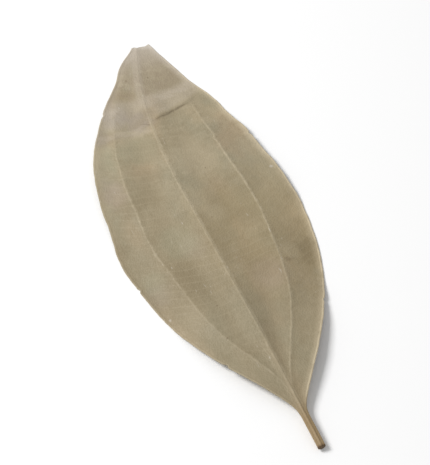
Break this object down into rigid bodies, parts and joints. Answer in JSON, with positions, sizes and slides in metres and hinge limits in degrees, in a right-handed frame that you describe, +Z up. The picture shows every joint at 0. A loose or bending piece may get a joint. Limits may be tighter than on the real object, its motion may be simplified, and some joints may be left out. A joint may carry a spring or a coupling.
{
  "type": "indian bay leaf",
  "caption": "Dried long oval leaf with three lengthwise nerves, a blunt cracked tip and a short stalk, lying face up.",
  "frame": {"origin": "on the surface the leaf lies on, under the middle of its bounding box", "axes": "+Z up from the surface, out of the leaf's upper face; +Y along the leaf from the stalk to the tip; +X to the right"},
  "size_m": [0.0552, 0.1504, 0.0051],
  "materials": {
    "leaf": "matte"
  },
  "bodies": {
    "root": {"bay_leaf": "leaf"}
  },
  "joints": []
}
